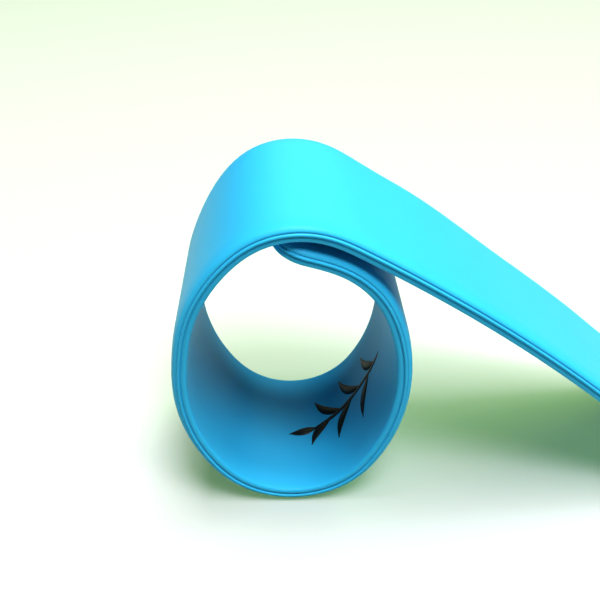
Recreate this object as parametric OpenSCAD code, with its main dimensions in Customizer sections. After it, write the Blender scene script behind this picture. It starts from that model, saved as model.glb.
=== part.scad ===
// Slap bracelet: one moulded silicone band, curled into an open wrist loop.
// The inner end lies under the band at the top of the loop, and the other end
// is a free tail that slopes down to the surface the bracelet stands on.
//
// The band is first laid out flat, as a bar with round edges and a fine ridge
// all round, and each of its points is then carried onto the curled path.

/* [Band] */
// Width of the band, over the parting ridges
band_w = 30; // [24:0.5:36]
// Thickness of the band
band_t = 2.6; // [2:0.1:3.2]
// Radius of the corners at both ends of the band, seen flat
corner_r = 5; // [4.5:0.5:10]
// Radius that turns the outer face gently down towards the edge
shoulder_r = 12; // [8:0.5:16]
// Radius between the edge and the outer face
outer_edge_r = 1.1; // [0.7:0.1:1.1]
// Radius between the edge and the inner face
inner_edge_r = 0.55; // [0.3:0.05:0.7]

/* [Parting ridge] */
// Width of the ridge that runs round the middle of the edge
ridge_w = 0.45; // [0.3:0.05:0.7]
// Height of the ridge above the edge
ridge_h = 0.2; // [0.1:0.05:0.3]

/* [Loop] */
// Mean radius of the wrist loop
coil_r = 20; // [17:0.5:26]
// Length of the straight inner end, from its tip to the first bend
inner_end_l = 8; // [7:0.5:14]
// Spare height between the inner end and the band that laps over it
lap_gap = 0.8; // [0.5:0.1:2]

/* [Tail] */
// Length of the gently bent part of the tail
tail_bend_l = 57; // [40:1:80]
// Angle through which that part bends
tail_bend_a = 12; // [5:1:20]
// Length of the straight end of the tail, to its tip
tail_end_l = 26; // [15:0.5:40]

/* [Fineness] */
// Greatest turn between two cross sections of the band, in degrees
step_a = 6; // [4:1:12]
// Greatest length between two cross sections of the band
step_l = 8; // [4:1:20]

/* [Hidden] */

// Bends of the loop, from the inner end to the place where the band comes up on
// the far side, and from there over the top to the tail
BEND_R = 0;   // radius, as a share of coil_r
BEND_A = 1;   // angle in degrees
rising_bends = [[0.78, 50], [1.62, 56.5], [0.73, 109], [1.45, 45]];
lapping_bends = [[1.35, 42], [0.69, 70]];

// How far the rear edge stands outside the line of the front edge, where the
// band is curled a little askew
LEAN_AT = 0;  // place along the path, as a share of its length
LEAN = 1;     // as a share of band_w
edge_lean = [
    [0, 0], [0.12, -0.018], [0.22, 0], [0.30, 0], [0.37, -0.01], [0.50, -0.005],
    [0.58, 0.038], [0.68, 0], [0.80, -0.039], [0.90, -0.032], [1, 0]
];

// The path of the band's middle is a row of legs. A leg is straight where it
// turns by nothing, and turns to the right elsewhere
LEG_L = 0;    // length along the path
LEG_A = 1;    // angle in degrees
function bend_legs(bends) = [for (b = bends) [b[BEND_R] * coil_r * b[BEND_A] * PI / 180, b[BEND_A]]];
lap_leg = [band_t + lap_gap, 0];
legs = concat(
    [[inner_end_l, 0]],
    bend_legs(rising_bends),
    [lap_leg],
    bend_legs(lapping_bends),
    [[tail_bend_l, tail_bend_a], [tail_end_l, 0]]
);
lap = len(rising_bends) + 1;
tail = len(legs) - 1;

function along(h) = [cos(h), sin(h)];
function outward(h) = [-sin(h), cos(h)];
function leg_r(leg) = leg[LEG_L] / (leg[LEG_A] * PI / 180);
function heading_after(leg, h, s) = h - leg[LEG_A] * s / leg[LEG_L];
function place_after(leg, p, h, s) =
    leg[LEG_A] == 0
        ? p + s * along(h)
        : p + leg_r(leg) * (outward(heading_after(leg, h, s)) - outward(h));

// Where each leg starts: its distance along the path, its place and its heading
START_S = 0;
START_P = 1;
START_H = 2;
function leg_starts(i = 0, s = 0, p = [0, 0], h = 0) =
    i == len(legs)
        ? [[s, p, h]]
        : concat([[s, p, h]], leg_starts(i + 1, s + legs[i][LEG_L],
            place_after(legs[i], p, h, legs[i][LEG_L]), h - legs[i][LEG_A]));
starts = leg_starts();
path_l = starts[len(legs)][START_S];

// The outer edge is rounder than the inner one, as far as the thickness allows
outer_r = min(outer_edge_r, 0.85 * band_t / 2);
inner_r = min(inner_edge_r, 0.55 * band_t / 2);
// Angle at which the shoulder runs into the round outer edge
blend_a = acos((shoulder_r - band_t / 2) / (shoulder_r - outer_r));
// Distance from the flat of the outer face to the edge
edge_depth = outer_r + (shoulder_r - outer_r) * sin(blend_a);
// Angle on the round outer edge at which the ridge begins
ridge_a = asin(ridge_w / 2 / outer_r);

// The edge's outline, from the flat of the outer face over the ridge to the
// flat of the inner face
INSET = 0;    // distance inside the edge
RISE = 1;     // height above the middle of the thickness
SHOULDER_STEPS = 3;
OUTER_STEPS = 4;
INNER_STEPS = 3;
edge_outline = concat(
    [for (k = [0:SHOULDER_STEPS])
        let (a = blend_a * k / SHOULDER_STEPS)
            [edge_depth - shoulder_r * sin(a), band_t / 2 - shoulder_r * (1 - cos(a))]],
    [for (k = [1:OUTER_STEPS])
        let (a = 90 - blend_a + (ridge_a - 90 + blend_a) * k / OUTER_STEPS)
            [outer_r * (1 - cos(a)), outer_r * sin(a)]],
    [[-ridge_h, ridge_w / 2], [-ridge_h, -ridge_w / 2], [0, -ridge_w / 2]],
    [for (k = [0:INNER_STEPS])
        let (a = 90 * k / INNER_STEPS)
            [inner_r * (1 - cos(a)), inner_r * (1 - sin(a)) - band_t / 2]]
);

// Stations from the inner tip to the tip of the tail: the two rounded corners,
// and the sections between them. A station has its distance along the path for
// an inset of nothing, and the angle by which the outline turns into the end
STATION_S = 0;
STATION_A = 1;
CORNER_STEPS = 5;
least_gap = band_t / 20;
function between_corners(s) = s > corner_r + least_gap && s < path_l - corner_r - least_gap;
function sections(i) =
    let (leg = legs[i], n = ceil(max(leg[LEG_A] / step_a, leg[LEG_L] / step_l)))
        [for (k = [0:n - 1]) starts[i][START_S] + leg[LEG_L] * k / n];
stations = concat(
    [for (k = [0:CORNER_STEPS]) [corner_r, -90 * (1 - k / CORNER_STEPS)]],
    [for (i = [0:len(legs) - 1]) for (s = sections(i)) if (between_corners(s)) [s, 0]],
    [for (k = [0:CORNER_STEPS]) [path_l - corner_r, 90 * k / CORNER_STEPS]]
);

// Smooth lean of the rear edge at a share of the path
function lean_at(u, i = 0) =
    let (a = edge_lean[i], b = edge_lean[i + 1])
        u <= b[LEAN_AT] || i == len(edge_lean) - 2
            ? let (f = min(1, (u - a[LEAN_AT]) / (b[LEAN_AT] - a[LEAN_AT])))
                band_w * (a[LEAN] + (b[LEAN] - a[LEAN]) * (1 - cos(180 * f)) / 2)
            : lean_at(u, i + 1);

// Place in space of a point of the flat band: s along it, v across it from the
// middle, and n above the middle of its thickness
function leg_at(s, i = 0) = i == len(legs) - 1 || s < starts[i + 1][START_S] ? i : leg_at(s, i + 1);
function curled(s, v, n) =
    let (
        i = leg_at(s),
        past = s - starts[i][START_S],
        h = heading_after(legs[i], starts[i][START_H], past),
        p = place_after(legs[i], starts[i][START_P], starts[i][START_H], past)
            + (n + lean_at(s / path_l) * (v / band_w + 1 / 2)) * outward(h)
    )
        [p.x, v, p.y];

// The cross section at one station: down the front edge and up the rear one
front_v = ridge_h + corner_r - band_w / 2;
function edge_point(station, e, side) =
    let (r = corner_r - e[INSET])
        curled(station[STATION_S] + r * sin(station[STATION_A]),
            side * (front_v - r * cos(station[STATION_A])), e[RISE]);
function section(station) = concat(
    [for (e = edge_outline) edge_point(station, e, 1)],
    [for (k = [len(edge_outline) - 1:-1:0]) edge_point(station, edge_outline[k], -1)]
);

// Tilt at which the loop and the tip of the tail both touch the surface below,
// found by halving the range that it lies in
STEEPEST = -60;
FLATTEST = 30;
HALVINGS = 30;
function tilted(p, t) = [p.x * cos(t) - p.z * sin(t), p.y, p.x * sin(t) + p.z * cos(t)];
function points_between(a, b) =
    [for (st = stations) if (st[STATION_S] >= a && st[STATION_S] <= b) each section(st)];
function lowest(points, t) = min([for (p = points) tilted(p, t).z]);
function rest_tilt(loop_points, tail_points, low = STEEPEST, high = FLATTEST, n = HALVINGS) =
    let (middle = (low + high) / 2)
        n == 0 ? middle
        : lowest(tail_points, middle) > lowest(loop_points, middle)
            ? rest_tilt(loop_points, tail_points, low, middle, n - 1)
            : rest_tilt(loop_points, tail_points, middle, high, n - 1);
tilt = rest_tilt(
    points_between(starts[2][START_S], starts[lap][START_S]),
    points_between(starts[tail][START_S], path_l)
);

// The origin lies on the surface, under the middle of the bracelet
standing = [for (st = stations) for (p = section(st)) tilted(p, tilt)];
all_x = [for (p = standing) p.x];
all_z = [for (p = standing) p.z];
origin = [(min(all_x) + max(all_x)) / 2, 0, min(all_z)];

// The whole band, standing on the loop and on the tip of the tail
module band() {
    ring = 2 * len(edge_outline);
    rows = len(stations);
    sides = [
        for (i = [0:rows - 2])
            for (k = [0:ring - 1])
                let (a = i * ring + k, b = i * ring + (k + 1) % ring)
                    each [[a, a + ring, b], [b, a + ring, b + ring]]
    ];
    ends = [
        for (i = [0, rows - 1])
            for (k = [0:ring / 2 - 2])
                let (
                    a = i * ring + k,
                    c = i * ring + ring - 1 - k,
                    quad = i == 0 ? [a, a + 1, c - 1, c] : [c, c - 1, a + 1, a]
                )
                    each [[quad[0], quad[1], quad[2]], [quad[0], quad[2], quad[3]]]
    ];
    color("#35bdea")
        polyhedron(points = [for (p = standing) p - origin], faces = concat(sides, ends), convexity = 8);
}

band();
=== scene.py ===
"""Slap bracelet: a moulded silicone band, curled into a wrist loop with a free tail.

The band is modelled flat, as a bar with soft shoulders, round edges and a fine
parting ridge between two grooves all round, and each of its points is then
carried onto the curled path. It stands on the loop and on the tip of the tail,
where the frame has it.
"""

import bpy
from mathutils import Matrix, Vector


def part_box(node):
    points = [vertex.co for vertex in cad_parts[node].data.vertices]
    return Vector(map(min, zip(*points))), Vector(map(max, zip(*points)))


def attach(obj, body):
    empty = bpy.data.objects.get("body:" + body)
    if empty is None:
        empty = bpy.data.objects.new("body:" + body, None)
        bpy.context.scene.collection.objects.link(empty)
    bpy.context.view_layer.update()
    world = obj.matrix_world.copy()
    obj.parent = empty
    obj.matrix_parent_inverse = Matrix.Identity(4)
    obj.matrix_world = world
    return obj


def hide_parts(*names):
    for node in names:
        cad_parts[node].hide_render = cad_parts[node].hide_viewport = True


bl_info = {
    "name": "Slap bracelet",
    "version": (1, 0, 0),
    "blender": (4, 5, 0),
    "location": "3D View > Sidebar > Bracelet",
    "description": "Models a curled silicone slap bracelet and the studio around it",
    "category": "Add Mesh",
}

from collections import namedtuple
from itertools import pairwise
from math import acos, asin, cos, pi, radians, sin, sqrt

import bmesh
import bpy
import numpy as np
from bpy.props import FloatProperty, FloatVectorProperty, PointerProperty
from mathutils import Matrix, Vector

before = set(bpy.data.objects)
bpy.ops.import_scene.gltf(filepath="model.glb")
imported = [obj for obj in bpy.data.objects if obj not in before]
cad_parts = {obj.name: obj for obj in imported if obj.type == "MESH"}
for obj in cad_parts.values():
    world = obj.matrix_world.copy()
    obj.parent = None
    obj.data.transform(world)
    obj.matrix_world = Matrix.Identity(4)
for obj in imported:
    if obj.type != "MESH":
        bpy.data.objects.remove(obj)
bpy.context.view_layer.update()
band_low, band_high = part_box("band")

MM = 0.001

# Bends of the loop, from the inner end to the place where the band comes up on
# the far side, and from there over the top to the tail. A radius is a share of
# the loop's mean radius, and an angle is in degrees
Bend = namedtuple("Bend", "radius angle")
RISING_BENDS = (Bend(0.78, 50), Bend(1.62, 56.5), Bend(0.73, 109), Bend(1.45, 45))
LAPPING_BENDS = (Bend(1.35, 42), Bend(0.69, 70))

# How far the rear edge stands outside the line of the front edge: the place as
# a share of the path, the lean as a share of the band's width
Lean = namedtuple("Lean", "place lean")
EDGE_LEAN = (
    Lean(0, 0), Lean(0.12, -0.018), Lean(0.22, 0), Lean(0.30, 0), Lean(0.37, -0.01), Lean(0.50, -0.005),
    Lean(0.58, 0.038), Lean(0.68, 0), Lean(0.80, -0.039), Lean(0.90, -0.032), Lean(1, 0),
)

# Fineness of the band's mesh: the spacing of its cross sections and of the samples
# of its path, and the steps in each of its rounds
SECTION_SPACING = 1.2 * MM
PATH_STEP = 0.1 * MM
CORNER_SEGMENTS = 14
SHOULDER_STEPS = 9
EDGE_STEPS = 5
RIDGE_STEPS = 4
# A real band passes smoothly from one bend to the next, over about this length
BEND_EASE = 6 * MM
# The path goes on for this much beyond both tips, where the ridge stands out
PATH_MARGIN = 2 * MM
# Share of the ridge's half width that its rounding takes up
RIDGE_ROUNDING = 0.9
# First strip of each flat face, beside the edge
FLAT_MARGIN = 0.4 * MM
# Points that lie closer than this are one
MERGE = 1e-7

# Part of the path that the loop can stand on, as shares of its length, and the
# number of places that are tried there
STANDING_FROM = 0.2
STANDING_TO = 0.6
STANDING_PLACES = 400
# The tilt at which the band stands lies between these, and is found by halving
STEEPEST = -pi / 3
FLATTEST = pi / 6
HALVINGS = 40

# Size of the soft clouds in the pigment, and how far they lighten and darken it
CLOUD_SIZE = 14 * MM
CLOUD_CONTRAST = 0.035
# A real mould's blasted texture is about 0.1 mm apart. It is drawn twice as coarse,
# so that it shows
GRAIN_SPACING = 0.22 * MM
# Size of the faint blotches in the ink, and the roughness that they range over
BLOTCH_SIZE = 0.8 * MM
INK_GLOSSIEST = 0.38
INK_DULLEST = 0.52
# Depth of the fine texture of silicone and ink
TEXTURE_DEPTH = 0.02 * MM


def linear(hex_colour):
    """Linear RGBA of an sRGB hex colour, fully opaque."""
    channels = [int(hex_colour[i:i + 2], 16) / 255 for i in (1, 3, 5)]
    return (*[c / 12.92 if c <= 0.04045 else ((c + 0.055) / 1.055) ** 2.4 for c in channels], 1.0)


def length(name, description, default):
    """A size in metres that a user may change."""
    return FloatProperty(name=name, description=description, default=default, min=0,
                         unit="LENGTH", precision=5)


class BraceletBand(bpy.types.PropertyGroup):
    """Sizes and finish of the silicone band."""

    width: length("Width", "Over the parting ridges", band_high.y - band_low.y)
    thickness: length("Thickness", "Of the whole band", 2.6 * MM)
    corner_radius: length("Corner radius", "Of both ends, seen flat", 5 * MM)
    shoulder_radius: length("Shoulder radius", "Where the outer face begins to turn down", 12 * MM)
    outer_radius: length("Outer edge radius", "Between the edge and the outer face", 1.1 * MM)
    inner_radius: length("Inner edge radius", "Between the edge and the inner face", 0.55 * MM)
    ridge_width: length("Ridge width", "Of the parting ridge round the edge", 0.45 * MM)
    ridge_height: length("Ridge height", "Of the parting ridge above the edge", 0.2 * MM)
    groove_width: length("Groove width", "Of the fine groove on both sides of the ridge", 0.2 * MM)
    groove_depth: length("Groove depth", "Of those grooves, below the edge", 0.15 * MM)
    loop_radius: length("Loop radius", "Mean radius of the wrist loop", 20 * MM)
    inner_end: length("Inner end", "Straight inner end, to the first bend", 8 * MM)
    lap_gap: length("Lap gap", "Between the inner end and the band over it", 0.8 * MM)
    tail_bend: length("Tail bend", "Gently bent part of the tail", 57 * MM)
    tail_turn: FloatProperty(name="Tail turn", description="Angle of that bend",
                             default=radians(12), unit="ROTATION")
    tail_end: length("Tail end", "Straight end of the tail", 26 * MM)
    colour: FloatVectorProperty(name="Colour", description="Pigment of the silicone",
                                default=linear("#3EB6DE"), size=4, subtype="COLOR", min=0, max=1)
    roughness: FloatProperty(name="Roughness", description="Of the moulded surface",
                             default=0.45, min=0, max=1, subtype="FACTOR")
    grain: length("Grain", "Spacing of the mould's fine blasted texture", GRAIN_SPACING)


class BraceletInk(bpy.types.PropertyGroup):
    """Sizes and colour of the printed sprig on the inner face."""

    place: length("Place", "Distance of its middle from the inner tip", 53 * MM)
    across: length("Across", "Distance of its middle from the band's rear edge", 14 * MM)
    stroke: length("Stroke", "Width of a brush stroke", 1.15 * MM)
    thickness: length("Thickness", "Of the dried ink", 0.03 * MM)
    colour: FloatVectorProperty(name="Colour", description="Colour of the ink",
                                default=linear("#16181A"), size=4, subtype="COLOR", min=0, max=1)


class BraceletStudio(bpy.types.PropertyGroup):
    """Camera and floor."""

    elevation: FloatProperty(name="Elevation", description="How far the camera looks down",
                             default=radians(33.756), unit="ROTATION")
    azimuth: FloatProperty(name="Azimuth", description="How far the camera looks to the right",
                           default=radians(1.335), unit="ROTATION")
    focal_length: FloatProperty(name="Focal length", description="In mm, on a 36 mm sensor",
                                default=50.05, min=1)
    floor_colour: FloatVectorProperty(name="Floor", description="Colour of the floor",
                                      default=linear("#BBB4C2"), size=4, subtype="COLOR",
                                      min=0, max=1)


def add_node(tree, kind, links=None, **settings):
    """Adds a node with its settings. Each named or numbered input gets a socket or a value."""
    node = tree.nodes.new(kind)
    for name, value in settings.items():
        setattr(node, name, value)
    for name, source in (links or {}).items():
        socket = node.inputs[name]
        if isinstance(source, bpy.types.NodeSocket):
            tree.links.new(source, socket)
        else:
            socket.default_value = source
    return node


def new_material(name):
    """A new material and its node tree, which is still empty."""
    material = bpy.data.materials.new(name)
    material.use_nodes = True
    tree = material.node_tree
    tree.nodes.clear()
    return material, tree


def moulded_silicone(band):
    """Silicone rubber, moulded in blasted steel: satin, and light goes a little way into it."""
    material, tree = new_material("moulded_silicone")
    place = add_node(tree, "ShaderNodeTexCoord").outputs["Object"]
    cloud = add_node(tree, "ShaderNodeTexNoise",
                     {"Vector": place, "Scale": 1 / CLOUD_SIZE, "Detail": 2.0})
    tint = add_node(tree, "ShaderNodeMix",
                    {"Factor": cloud.outputs["Fac"]}, data_type="RGBA", blend_type="MIX")
    pigment = Vector(band.colour[:3])
    tint.inputs["A"].default_value = (*(pigment * (1 - CLOUD_CONTRAST)), 1)
    tint.inputs["B"].default_value = (*(pigment * (1 + CLOUD_CONTRAST)), 1)
    grain = add_node(tree, "ShaderNodeTexNoise",
                     {"Vector": place, "Scale": 1 / band.grain, "Detail": 3.0})
    bump = add_node(tree, "ShaderNodeBump", {
        "Height": grain.outputs["Fac"], "Strength": 0.12, "Distance": TEXTURE_DEPTH,
    })
    shader = add_node(tree, "ShaderNodeBsdfPrincipled", {
        "Base Color": tint.outputs["Result"],
        "Roughness": band.roughness,
        "IOR": 1.41,
        "Specular IOR Level": 0.25,
        "Normal": bump.outputs["Normal"],
        "Subsurface Weight": 0.12,
        "Subsurface Radius": (0.3, 0.8, 1.0),
        "Subsurface Scale": 1.2 * MM,
        "Sheen Weight": 0.05,
        "Sheen Roughness": 0.5,
    })
    add_node(tree, "ShaderNodeOutputMaterial", {"Surface": shader.outputs["BSDF"]})
    return material


def screen_ink(ink):
    """Silicone screen ink: a thin black film, about as glossy as the band, with faint blotches."""
    material, tree = new_material("screen_ink")
    place = add_node(tree, "ShaderNodeTexCoord").outputs["Object"]
    blotches = add_node(tree, "ShaderNodeTexNoise",
                        {"Vector": place, "Scale": 1 / BLOTCH_SIZE, "Detail": 2.0})
    roughness = add_node(tree, "ShaderNodeMapRange", {
        "Value": blotches.outputs["Fac"], "To Min": INK_GLOSSIEST, "To Max": INK_DULLEST,
    })
    bump = add_node(tree, "ShaderNodeBump", {
        "Height": blotches.outputs["Fac"], "Strength": 0.15, "Distance": TEXTURE_DEPTH,
    })
    shader = add_node(tree, "ShaderNodeBsdfPrincipled", {
        "Base Color": tuple(ink.colour),
        "Roughness": roughness.outputs["Result"],
        "IOR": 1.46,
        "Normal": bump.outputs["Normal"],
    })
    add_node(tree, "ShaderNodeOutputMaterial", {"Surface": shader.outputs["BSDF"]})
    return material


def satin_board(studio):
    """White laminated board: nearly matte, with a faint soft reflection."""
    material, tree = new_material("satin_board")
    shader = add_node(tree, "ShaderNodeBsdfPrincipled", {
        "Base Color": tuple(studio.floor_colour),
        "Roughness": 0.32,
        "IOR": 1.45,
    })
    add_node(tree, "ShaderNodeOutputMaterial", {"Surface": shader.outputs["BSDF"]})
    return material


def path_legs(band):
    """Length and turn of each leg of the path. A straight leg turns by nothing."""
    def bends(table):
        return [(b.radius * band.loop_radius * radians(b.angle), radians(b.angle)) for b in table]

    return [
        (band.inner_end, 0),
        *bends(RISING_BENDS),
        (band.thickness + band.lap_gap, 0),
        *bends(LAPPING_BENDS),
        (band.tail_bend, band.tail_turn),
        (band.tail_end, 0),
    ]


def path_length(band):
    """Length of the path, from tip to tip."""
    return sum(leg for leg, _ in path_legs(band))


def curled_path(band):
    """Distance along the path, place and heading of its samples, with a margin at both tips."""
    legs, turns = np.array(path_legs(band)).T
    ends = np.concatenate(([0], np.cumsum(legs)))
    headings = -np.concatenate(([0], np.cumsum(turns)))
    along = np.arange(-PATH_MARGIN, ends[-1] + PATH_MARGIN, PATH_STEP)
    heading = np.interp(along, ends, headings)
    half = round(BEND_EASE / PATH_STEP / 2)
    eased = np.convolve(np.pad(heading, half, mode="edge"), np.ones(2 * half + 1), mode="valid")
    heading = eased / (2 * half + 1)
    steps = np.stack((np.cos(heading), np.sin(heading)), axis=1) * PATH_STEP
    place = np.cumsum(steps, axis=0) - steps / 2
    place -= [np.interp(0, along, place[:, k]) for k in (0, 1)]
    return along, place, heading


def rear_lean(band, share):
    """How far the rear edge stands outside the front one, at shares of the path."""
    places, leans = np.array(EDGE_LEAN).T
    row = np.clip(np.searchsorted(places, share) - 1, 0, len(places) - 2)
    part = np.clip((share - places[row]) / (places[row + 1] - places[row]), 0, 1)
    eased = (1 - np.cos(np.pi * part)) / 2
    return band.width * (leans[row] + (leans[row + 1] - leans[row]) * eased)


def curl(band, flat):
    """Carries points of the flat band onto the curled path."""
    along, place, heading = curled_path(band)
    s, v, n = flat.T
    h = np.interp(s, along, heading)
    lift = n + rear_lean(band, s / path_length(band)) * (v / band.width + 0.5)
    x = np.interp(s, along, place[:, 0]) - lift * np.sin(h)
    z = np.interp(s, along, place[:, 1]) + lift * np.cos(h)
    return np.stack((x, v, z), axis=1)


def ridge_rows(band):
    """Inset and rise of half of the parting ridge, down into its groove, and where the groove ends."""
    half = band.ridge_width / 2
    groove = band.ridge_height + band.groove_depth
    round_off = RIDGE_ROUNDING * half
    rows = [(0, 0)]
    for k in range(RIDGE_STEPS + 1):
        a = pi / 2 * k / RIDGE_STEPS
        rows.append((round_off * (1 - cos(a)), half - round_off + round_off * sin(a)))
    rows += [(groove, half), (groove, half + band.groove_width / 2)]
    return rows, half + band.groove_width


def outer_rows(band):
    """Inset and rise of the edge's outline, from the ridge up to the flat of the outer face."""
    rows, foot = ridge_rows(band)
    half, edge, shoulder = band.thickness / 2, band.outer_radius, band.shoulder_radius
    blend = acos((shoulder - half) / (shoulder - edge))
    flat_from = band.ridge_height + edge + (shoulder - edge) * sin(blend)
    first = asin(foot / edge)
    for k in range(EDGE_STEPS + 1):
        a = first + (pi / 2 - blend - first) * k / EDGE_STEPS
        rows.append((band.ridge_height + edge * (1 - cos(a)), edge * sin(a)))
    for k in range(SHOULDER_STEPS - 1, -1, -1):
        a = blend * k / SHOULDER_STEPS
        rows.append((flat_from - shoulder * sin(a), half - shoulder * (1 - cos(a))))
    return [*rows, (flat_from + FLAT_MARGIN, half)]


def inner_rows(band):
    """Inset and rise of the edge's outline, from the ridge up to the flat of the inner face."""
    rows, foot = ridge_rows(band)
    half, edge = band.thickness / 2, band.inner_radius
    rows.append((band.ridge_height, foot))
    for k in range(EDGE_STEPS + 1):
        a = pi / 2 * k / EDGE_STEPS
        rows.append((band.ridge_height + edge * (1 - cos(a)), half - edge + edge * sin(a)))
    return [*rows, (band.ridge_height + edge + FLAT_MARGIN, half)]


def flat_band(band):
    """The band laid flat: x along it from the inner tip, y across it, z through it."""
    total = path_length(band)
    ridge = band.ridge_height
    bm = bmesh.new()
    # A square with sides of 1, which is then stretched to the band's size
    bmesh.ops.create_grid(bm, x_segments=1, y_segments=1, size=0.5)
    bmesh.ops.scale(bm, vec=(total + 2 * ridge, band.width, 1), verts=bm.verts)
    bmesh.ops.translate(bm, vec=(total / 2, 0, 0), verts=bm.verts)
    bmesh.ops.bevel(bm, geom=bm.verts[:], offset=band.corner_radius + ridge, offset_type="OFFSET",
                    segments=CORNER_SEGMENTS, profile=0.5, affect="VERTICES", material=-1)
    cuts = round((total - 2 * band.corner_radius) / SECTION_SPACING)
    for place in np.linspace(band.corner_radius, total - band.corner_radius, cuts + 1)[1:-1]:
        bmesh.ops.bisect_plane(bm, geom=bm.verts[:] + bm.edges[:] + bm.faces[:], dist=MERGE,
                               plane_co=(place, 0, 0), plane_no=(1, 0, 0))
    outer_face = bm.faces[:]
    copy = bmesh.ops.duplicate(bm, geom=bm.verts[:] + bm.edges[:] + bm.faces[:])["geom"]
    inner_face = [part for part in copy if isinstance(part, bmesh.types.BMFace)]
    for face, rows, side in ((outer_face, outer_rows(band), 1), (inner_face, inner_rows(band), -1)):
        for (inset, rise), (next_inset, next_rise) in pairwise(rows):
            bmesh.ops.inset_region(bm, faces=face, thickness=next_inset - inset,
                                   depth=side * (next_rise - rise), use_boundary=True,
                                   use_even_offset=True)
    bmesh.ops.remove_doubles(bm, verts=bm.verts, dist=MERGE)
    bmesh.ops.recalc_face_normals(bm, faces=bm.faces)
    return bm


def map_flat(bm, band):
    """Keeps the flat form as a UV map in metres: the inner face lies beside the outer one."""
    layer = bm.loops.layers.uv.new("flat")
    for face in bm.faces:
        inner = face.calc_center_median().z < 0
        for loop in face.loops:
            s, v, _ = loop.vert.co
            loop[layer].uv = (s, v + (band.width if inner else 0))


def standing(band):
    """The turn and the move that stand the curled band on its loop and on the tail's tip."""
    total = path_length(band)
    reach = band.width / 2 - outer_rows(band)[-1][0]
    s = np.linspace(total * STANDING_FROM, total * STANDING_TO, STANDING_PLACES)
    loop = [curl(band, np.stack((s, np.full_like(s, v), np.full_like(s, band.thickness / 2)), 1))
            for v in (-reach, reach)]
    loop = np.concatenate(loop)
    end = total + band.ridge_height
    tip = [(end - inset, 0, rise) for inset, rise in outer_rows(band)]
    tip += [(end - inset, 0, -rise) for inset, rise in inner_rows(band)]
    tip = curl(band, np.array(tip))

    def heights(points, tilt):
        return points[:, 0] * sin(tilt) + points[:, 2] * cos(tilt)

    low, high = STEEPEST, FLATTEST
    for _ in range(HALVINGS):
        tilt = (low + high) / 2
        if heights(tip, tilt).min() > heights(loop, tilt).min():
            high = tilt
        else:
            low = tilt
    turn = Matrix.Rotation(-tilt, 4, "Y")
    leftmost = (loop[:, 0] * cos(tilt) - loop[:, 2] * sin(tilt)).min()
    move = Vector((band_low.x - leftmost, 0, band_low.z - heights(loop, tilt).min()))
    return Matrix.Translation(move) @ turn


def finish_piece(bm, name, band, material):
    """Curls and stands a flat mesh, and makes it a piece that rides on the bracelet."""
    flat = np.array([vert.co[:] for vert in bm.verts])
    for vert, place in zip(bm.verts, curl(band, flat)):
        vert.co = place
    bmesh.ops.transform(bm, matrix=standing(band), verts=bm.verts)
    for face in bm.faces:
        face.smooth = True
    mesh = bpy.data.meshes.new(name)
    bm.to_mesh(mesh)
    bm.free()
    mesh.materials.append(material)
    piece = bpy.data.objects.new(name, mesh)
    bpy.context.scene.collection.objects.link(piece)
    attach(piece, "root")
    return piece


class BRACELET_OT_band(bpy.types.Operator):
    """Model the silicone band, from tip to tip"""

    bl_idname = "bracelet.band"
    bl_label = "Silicone band"

    def execute(self, context):
        band = context.scene.bracelet_band
        bm = flat_band(band)
        map_flat(bm, band)
        piece = finish_piece(bm, "silicone_band", band, moulded_silicone(band))
        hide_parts("band")
        return {"FINISHED"}


# A sprig in brush strokes. Its stem is a shallow arch, and each leaf is a lens that
# starts on the stem: its place and its length as shares of the sprig's length, the
# side that it lies on, and its angle to the stem in degrees. The last one lies on
# neither side, and ends the sprig
SPRIG_LENGTH = 22 * MM
STEM_ARCH = 1.5 * MM
Leaf = namedtuple("Leaf", "place side length angle")
LEAVES = (
    Leaf(0.12, 1, 0.38, 62), Leaf(0.24, -1, 0.42, 58), Leaf(0.40, 1, 0.42, 56),
    Leaf(0.53, -1, 0.40, 52), Leaf(0.68, 1, 0.36, 48), Leaf(0.80, -1, 0.32, 42),
    Leaf(0.96, 0, 0.26, 0),
)
STEM_STEPS = 24
LEAF_STEPS = 16
# Width of the stem, and half width of a leaf, as shares of a brush stroke
STEM_WIDTH = 0.8
LEAF_HALF_WIDTH = 0.8
# How far a leaf bows away from its straight line, as a share of its length
LEAF_BOW = 0.13
# A leaf is broadest halfway along at 1, and nearer the stem below 1
LEAF_SWELL = 0.85
# Least width of a leaf, at its ends, as a share of its greatest
LEAF_TIP = 0.1
# How square the ends of the stem are, where 2 is an ellipse
STEM_SQUARENESS = 8
# Square of the stem's least width, at its ends, as a share of its full width
STEM_TIP_SQUARED = 0.02
# Turn of the sprig from the line of the band, in degrees
SPRIG_TURN = -8


def stem_point(share):
    """Place on the stem, at a share of its length."""
    return Vector(((share - 0.5) * SPRIG_LENGTH, STEM_ARCH * sin(pi * share), 0))


def add_stroke(bm, places, half_widths):
    """A brush stroke: a flat strip along a row of places, with its half width at each."""
    left, right = [], []
    for k, (place, half_width) in enumerate(zip(places, half_widths)):
        before, after = places[max(0, k - 1)], places[min(len(places) - 1, k + 1)]
        ahead = (after - before).normalized()
        aside = Vector((-ahead.y, ahead.x, 0)) * half_width
        left.append(bm.verts.new(place + aside))
        right.append(bm.verts.new(place - aside))
    edges = [bm.edges.new(pair) for row in (left, right) for pair in pairwise(row)]
    bmesh.ops.bridge_loops(bm, edges=edges)


def add_stem(bm, width):
    """The stem of the sprig, a stroke with blunt ends."""
    shares = [k / STEM_STEPS for k in range(STEM_STEPS + 1)]
    half_widths = [width / 2 * sqrt(max(STEM_TIP_SQUARED, 1 - (2 * t - 1) ** STEM_SQUARENESS))
                   for t in shares]
    add_stroke(bm, [stem_point(t) for t in shares], half_widths)


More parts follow.
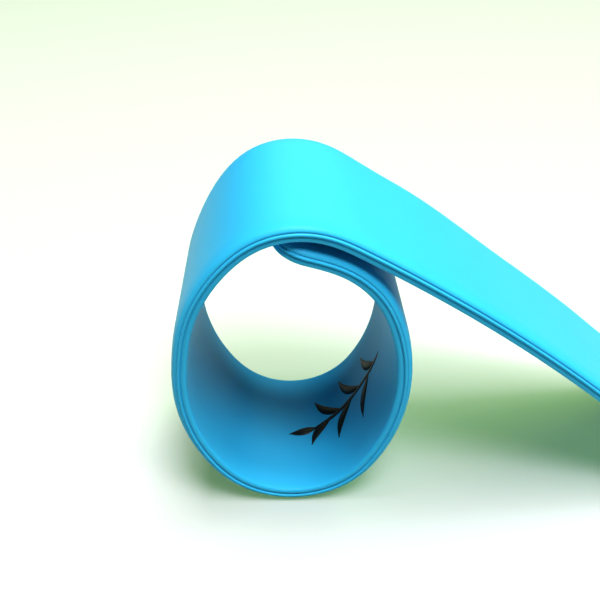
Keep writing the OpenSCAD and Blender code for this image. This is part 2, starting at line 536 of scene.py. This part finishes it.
def add_leaf(bm, leaf, half_width):
    """A leaf of the sprig, a stroke that swells and bows."""
    root = stem_point(leaf.place)
    angle = radians(leaf.angle) * leaf.side
    reach = leaf.length * SPRIG_LENGTH
    ahead = Vector((cos(angle), sin(angle), 0))
    aside = Vector((-sin(angle), cos(angle), 0))
    shares = [k / LEAF_STEPS for k in range(LEAF_STEPS + 1)]
    places = [root + ahead * reach * t - aside * leaf.side * LEAF_BOW * reach * sin(pi * t)
              for t in shares]
    half_widths = [half_width * max(LEAF_TIP, sin(pi * t ** LEAF_SWELL)) for t in shares]
    add_stroke(bm, places, half_widths)


def flat_sprig(ink, band):
    """The sprig laid flat, as films on the inner face of the band."""
    bm = bmesh.new()
    add_stem(bm, ink.stroke * STEM_WIDTH)
    for leaf in LEAVES:
        add_leaf(bm, leaf, ink.stroke * LEAF_HALF_WIDTH)
    turn = Matrix.Rotation(radians(SPRIG_TURN), 4, "Z")
    bmesh.ops.transform(bm, matrix=turn, verts=bm.verts)
    film = bmesh.ops.extrude_face_region(bm, geom=bm.faces[:])["geom"]
    top = [part for part in film if isinstance(part, bmesh.types.BMVert)]
    bmesh.ops.translate(bm, vec=(0, 0, -2 * ink.thickness), verts=top)
    # Half of the film lies in the band, so that no gap shows under it
    middle = Vector((ink.place, band.width / 2 - ink.across, ink.thickness - band.thickness / 2))
    bmesh.ops.translate(bm, vec=middle, verts=bm.verts)
    bmesh.ops.recalc_face_normals(bm, faces=bm.faces)
    return bm


class BRACELET_OT_ink(bpy.types.Operator):
    """Print a sprig in black ink on the inner face"""

    bl_idname = "bracelet.ink"
    bl_label = "Printed sprig"

    def execute(self, context):
        band = context.scene.bracelet_band
        ink = context.scene.bracelet_ink
        piece = finish_piece(flat_sprig(ink, band), "printed_sprig", band, screen_ink(ink))
        return {"FINISHED"}


# A soft box: the direction and distance of its middle from the bracelet, in degrees
# and metres, its size in metres, its power in watts, its colour and its use. Azimuth 0
# is behind the bracelet, and 90 to its right. One for the bracelet or for the floor
# lights that alone, and one for sheen only reflects in the bracelet. The floor's fill
# casts no shadow, and lifts the ones that are there
SoftBox = namedtuple("SoftBox", "name azimuth elevation distance width height power colour use")
SOFT_BOXES = (
    SoftBox("front_soft_box", 155, 68, 2.00, 0.80, 0.75, 39.0, "#FFFFFF", "all"),
    SoftBox("top_soft_box", 0, 89, 2.00, 0.90, 0.60, 25.0, "#FFFFFF", "all"),
    SoftBox("back_panel", 15, 28, 2.00, 2.20, 0.90, 12.0, "#FFFFD2", "sheen"),
    SoftBox("right_soft_box", 90, 42, 2.00, 0.80, 0.60, 15.0, "#FFFFF4", "bracelet"),
    SoftBox("left_soft_box", 270, 80, 2.00, 0.60, 0.40, 12.0, "#FFFFFF", "bracelet"),
    SoftBox("floor_soft_box", 0, 80, 2.00, 0.90, 0.60, 10.0, "#FFFFFF", "floor"),
    SoftBox("floor_side_light", 50, 35, 2.00, 1.40, 0.60, 25.0, "#C8FF98", "floor"),
    SoftBox("floor_fill", 0, 72, 2.00, 1.00, 1.00, 33.0, "#CCFF9C", "floor_fill"),
)
FLOOR_USES = ("floor", "floor_fill")
SKY_STRENGTH = 0.06
SKY_COLOUR = "#F0FFC8"
BACKDROP_COLOUR = "#C9D0CA"
# Radius of the floor in metres
FLOOR_RADIUS = 1.5
FLOOR_SIDES = 96
# Where the camera stands, from the fit to the bracelet's outlines in the photograph
CAMERA_PLACE = Vector((-28.885, -114.72, 108.21)) * MM
# Width of the camera's sensor, in the lens's own millimetres
SENSOR_WIDTH = 36
# Distance from the camera at which it begins to see
NEAREST_SEEN = 1 * MM
# The photograph has more contrast than the plain view, whose gamma is 1
VIEW_GAMMA = 0.75


def add_camera(studio):
    """The camera, at the photograph's angle."""
    data = bpy.data.cameras.new("camera")
    data.sensor_width = SENSOR_WIDTH
    data.lens = studio.focal_length
    data.clip_start = NEAREST_SEEN
    camera = bpy.data.objects.new("camera", data)
    camera.location = CAMERA_PLACE
    camera.rotation_euler = (pi / 2 - studio.elevation, 0, -studio.azimuth)
    bpy.context.scene.collection.objects.link(camera)
    bpy.context.scene.camera = camera


def add_soft_box(box, target, floor):
    """An area light turned to the bracelet. Its use says what it lights, and how."""
    data = bpy.data.lights.new(box.name, "AREA")
    data.shape = "RECTANGLE"
    data.size = box.width
    data.size_y = box.height
    data.energy = box.power
    data.color = linear(box.colour)[:3]
    azimuth, elevation = radians(box.azimuth), radians(box.elevation)
    away = Vector((sin(azimuth) * cos(elevation), cos(azimuth) * cos(elevation), sin(elevation)))
    light = bpy.data.objects.new(box.name, data)
    light.location = target + away * box.distance
    light.rotation_euler = away.to_track_quat("Z", "Y").to_euler()
    bpy.context.scene.collection.objects.link(light)
    if box.use != "all":
        linked = bpy.data.collections.new(box.name)
        linked.objects.link(floor)
        light.light_linking.receiver_collection = linked
        state = "INCLUDE" if box.use in FLOOR_USES else "EXCLUDE"
        linked.collection_objects[0].light_linking.link_state = state
    light.visible_diffuse = box.use != "sheen"
    light.visible_glossy = box.use not in FLOOR_USES
    data.use_shadow = box.use != "floor_fill"


def add_sky():
    """A dim even sky around the stage. The camera sees a pale backdrop in its place."""
    world = bpy.data.worlds.new("sky")
    world.use_nodes = True
    tree = world.node_tree
    tree.nodes.clear()
    sky = add_node(tree, "ShaderNodeBackground", {"Color": linear(SKY_COLOUR), "Strength": SKY_STRENGTH})
    backdrop = add_node(tree, "ShaderNodeBackground", {"Color": linear(BACKDROP_COLOUR)})
    seen = add_node(tree, "ShaderNodeLightPath").outputs["Is Camera Ray"]
    both = add_node(tree, "ShaderNodeMixShader", {
        0: seen, 1: sky.outputs["Background"], 2: backdrop.outputs["Background"],
    })
    add_node(tree, "ShaderNodeOutputWorld", {"Surface": both.outputs["Shader"]})
    bpy.context.scene.world = world


def add_floor(studio):
    """A wide round floor under the bracelet."""
    bm = bmesh.new()
    bmesh.ops.create_circle(bm, cap_ends=True, segments=FLOOR_SIDES, radius=FLOOR_RADIUS)
    bmesh.ops.translate(bm, vec=(0, 0, band_low.z), verts=bm.verts)
    mesh = bpy.data.meshes.new("floor")
    bm.to_mesh(mesh)
    bm.free()
    mesh.materials.append(satin_board(studio))
    floor = bpy.data.objects.new("floor", mesh)
    bpy.context.scene.collection.objects.link(floor)
    return floor


class BRACELET_OT_stage(bpy.types.Operator):
    """Set the camera, the lights and the floor"""

    bl_idname = "bracelet.stage"
    bl_label = "Stage"

    def execute(self, context):
        studio = context.scene.bracelet_studio
        context.scene.view_settings.view_transform = "Standard"
        context.scene.view_settings.gamma = VIEW_GAMMA
        add_camera(studio)
        floor = add_floor(studio)
        add_sky()
        middle = (band_low + band_high) / 2
        for box in SOFT_BOXES:
            add_soft_box(box, middle, floor)
        return {"FINISHED"}


class BRACELET_PT_panel(bpy.types.Panel):
    """Sizes and operators of the bracelet"""

    bl_label = "Slap bracelet"
    bl_idname = "BRACELET_PT_panel"
    bl_space_type = "VIEW_3D"
    bl_region_type = "UI"
    bl_category = "Bracelet"

    def draw(self, context):
        for group in (context.scene.bracelet_band, context.scene.bracelet_ink,
                      context.scene.bracelet_studio):
            box = self.layout.box()
            for name in group.__annotations__:
                box.prop(group, name)
        for operator in OPERATORS:
            self.layout.operator(operator.bl_idname)


GROUPS = {
    "bracelet_band": BraceletBand,
    "bracelet_ink": BraceletInk,
    "bracelet_studio": BraceletStudio,
}
OPERATORS = (BRACELET_OT_stage, BRACELET_OT_band, BRACELET_OT_ink)


def register():
    for group in GROUPS.values():
        bpy.utils.register_class(group)
    for name, group in GROUPS.items():
        setattr(bpy.types.Scene, name, PointerProperty(type=group))
    for operator in OPERATORS:
        bpy.utils.register_class(operator)
    bpy.utils.register_class(BRACELET_PT_panel)


def unregister():
    bpy.utils.unregister_class(BRACELET_PT_panel)
    for operator in reversed(OPERATORS):
        bpy.utils.unregister_class(operator)
    for name in GROUPS:
        delattr(bpy.types.Scene, name)
    for group in reversed(GROUPS.values()):
        bpy.utils.unregister_class(group)


def main():
    """Makes the scene."""
    register()
    bpy.ops.bracelet.stage()
    bpy.ops.bracelet.band()
    bpy.ops.bracelet.ink()


if __name__ == "__main__":
    main()
